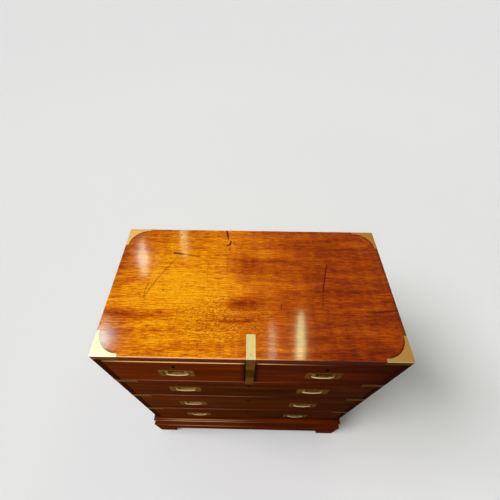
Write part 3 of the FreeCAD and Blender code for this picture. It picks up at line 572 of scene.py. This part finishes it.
# ---------------------------------------------------------------- floor and light
LAMP_RISE = Vector((0, 0, 1.6))          # from the top up to the ceiling lamps
FAR_LIGHTS = (           # name, direction it comes from, share, spread in degrees, colour
    ("high_window", (-0.420, 0.338, 0.843), 0.014, 3.0, "#E8FFFA"),
    ("high_window_haze", (-0.430, 0.345, 0.838), 0.008, 6.0, "#E8FFFA"),
    ("left_window", (-0.66, 0.02, 0.75), 0.37, 22.0, "#FFFFFF"),
    ("left_wall", (-0.60, -0.27, 0.75), 0.38, 22.0, "#FFFFFF"),
    ("warm_right_wall", (0.40, 0.45, 0.80), 0.045, 60.0, "#FFE4A0"),
)
STRIP_LAMPS = (          # place over the top and length in mm, lean in degrees, watts, colour
    ((-1054, 1550), 520, 16, 0.9, "#ECFFE4"),
    ((-1058, 1545), 170, 12, 1.6, "#F4FFF0"),
    ((-677, 1812), 560, 11, 0.8, "#E6FFB4"),
    ((448, 693), 560, -7, 2.0, "#E6FFB4"),
    ((210, 598), 560, -2, 0.6, "#E6FFD0"),
)


def pale_floor():
    """Matt pale paper around the chest, a little paler far off, where less light falls."""
    half = 15.0
    near, far = 0.4, 4.4     # where its tone starts and stops to rise
    mesh = bpy.data.meshes.new("floor")
    corners = [(-half, -half, 0), (half, -half, 0), (half, half, 0), (-half, half, 0)]
    mesh.from_pydata(corners, [], [(0, 1, 2, 3)])
    floor = bpy.data.objects.new("floor", mesh)
    bpy.context.scene.collection.objects.link(floor)
    material, tree = new_tree("matt_paper_floor")
    point = add(tree, "ShaderNodeTexCoord", output="Object")
    reach = add(tree, "ShaderNodeVectorMath", {0: point}, "Value", operation="LENGTH")
    colour = lay(tree, linear("#E2E2E4"), reach, near, far, 1.0, "#EAEAEC")
    finish_with(tree, {"Base Color": colour, "Roughness": 0.9, "Specular IOR Level": 0.0})
    mesh.materials.append(material)


def soft_room(walls, ceiling):
    """Dim walls under a dimmer ceiling."""
    world = bpy.data.worlds.new("soft_room")
    world.use_nodes = True
    tree = world.node_tree
    direction = add(tree, "ShaderNodeTexCoord", output="Generated")
    height = add(tree, "ShaderNodeSeparateXYZ", {0: direction}).node.outputs["Z"]
    sockets = {0: height, "From Max": 0.75, "To Min": walls, "To Max": ceiling}
    level = add(tree, "ShaderNodeMapRange", sockets)
    background = tree.nodes["Background"]
    background.inputs["Color"].default_value = (1.0, 1.0, 1.0, 1.0)
    tree.links.new(level, background.inputs["Strength"])
    bpy.context.scene.world = world


def hang(name, lamp, place, towards):
    """Puts a lamp at a place and turns it towards a direction."""
    obj = bpy.data.objects.new(name, lamp)
    obj.location = place
    obj.rotation_euler = Vector(towards).to_track_quat("-Z", "Y").to_euler()
    bpy.context.scene.collection.objects.link(obj)
    return obj


def far_light(name, direction, share, spread, tone):
    """Light from far off; share is its part of the light on a flat top."""
    lamp = bpy.data.lights.new(name, "SUN")
    lamp.color = linear(tone)[:3]
    source = Vector(direction).normalized()
    lamp.energy = share * math.pi / source.z
    lamp.angle = math.radians(spread)
    hang(name, lamp, (0, 0, 3), -source)


def front_lamp():
    """Round lamp above the viewer, which draws light lines along the front's rounded edges."""
    lamp = bpy.data.lights.new("front_lamp", "AREA")
    lamp.shape = "DISK"
    lamp.size = 0.3
    lamp.energy = 7.0
    hang("front_lamp", lamp, on_top((-480, -980)) + LAMP_RISE, (0.1, 0.3, -1))


def strip_lamp(name, place_mm, length_mm, lean, watts, tone):
    """Narrow ceiling lamp, long to the front and back, that shows as a streak in the polish."""
    lamp = bpy.data.lights.new(name, "AREA")
    lamp.shape = "ELLIPSE"
    lamp.size, lamp.size_y = 60 * MM, length_mm * MM
    lamp.color = linear(tone)[:3]
    lamp.energy = watts
    obj = hang(name, lamp, on_top(place_mm) + LAMP_RISE, (0, 0, -1))
    obj.rotation_euler.z = math.radians(lean)


pale_floor()
soft_room(walls=0.40, ceiling=0.05)
for settings in FAR_LIGHTS:
    far_light(*settings)
front_lamp()
for number, settings in enumerate(STRIP_LAMPS):
    strip_lamp("strip_lamp_%d" % number, *settings)


# ---------------------------------------------------------------- camera
def standing_camera():
    """Camera of someone who stands in front and looks steeply down."""
    frame_pixels = 500.0
    focal_pixels = 299.6
    middle_pixel = 241.9
    yaw, pitch, roll = (math.radians(angle) for angle in (-1.06, 51.28, -0.06))
    camera = bpy.data.cameras.new("camera")
    camera.sensor_width = 36.0
    camera.lens = camera.sensor_width * focal_pixels / frame_pixels
    camera.shift_x = (frame_pixels / 2 - middle_pixel) / frame_pixels
    obj = bpy.data.objects.new("camera", camera)
    aside, ahead, above = (share * 2 * half_width for share in (-0.022, 0.311, 0.921))
    obj.location = (aside, front_y - ahead, top_z + above)
    forward = Vector((math.sin(yaw) * math.cos(pitch), math.cos(yaw) * math.cos(pitch), -math.sin(pitch)))
    right = Vector((math.cos(yaw), -math.sin(yaw), 0.0))
    turn = Matrix((right, right.cross(forward), -forward)).transposed().to_4x4()
    obj.rotation_euler = (turn @ Matrix.Rotation(-roll, 4, "Z")).to_euler()
    bpy.context.scene.collection.objects.link(obj)
    bpy.context.scene.camera = obj


standing_camera()
bpy.context.scene.view_settings.view_transform = "Standard"
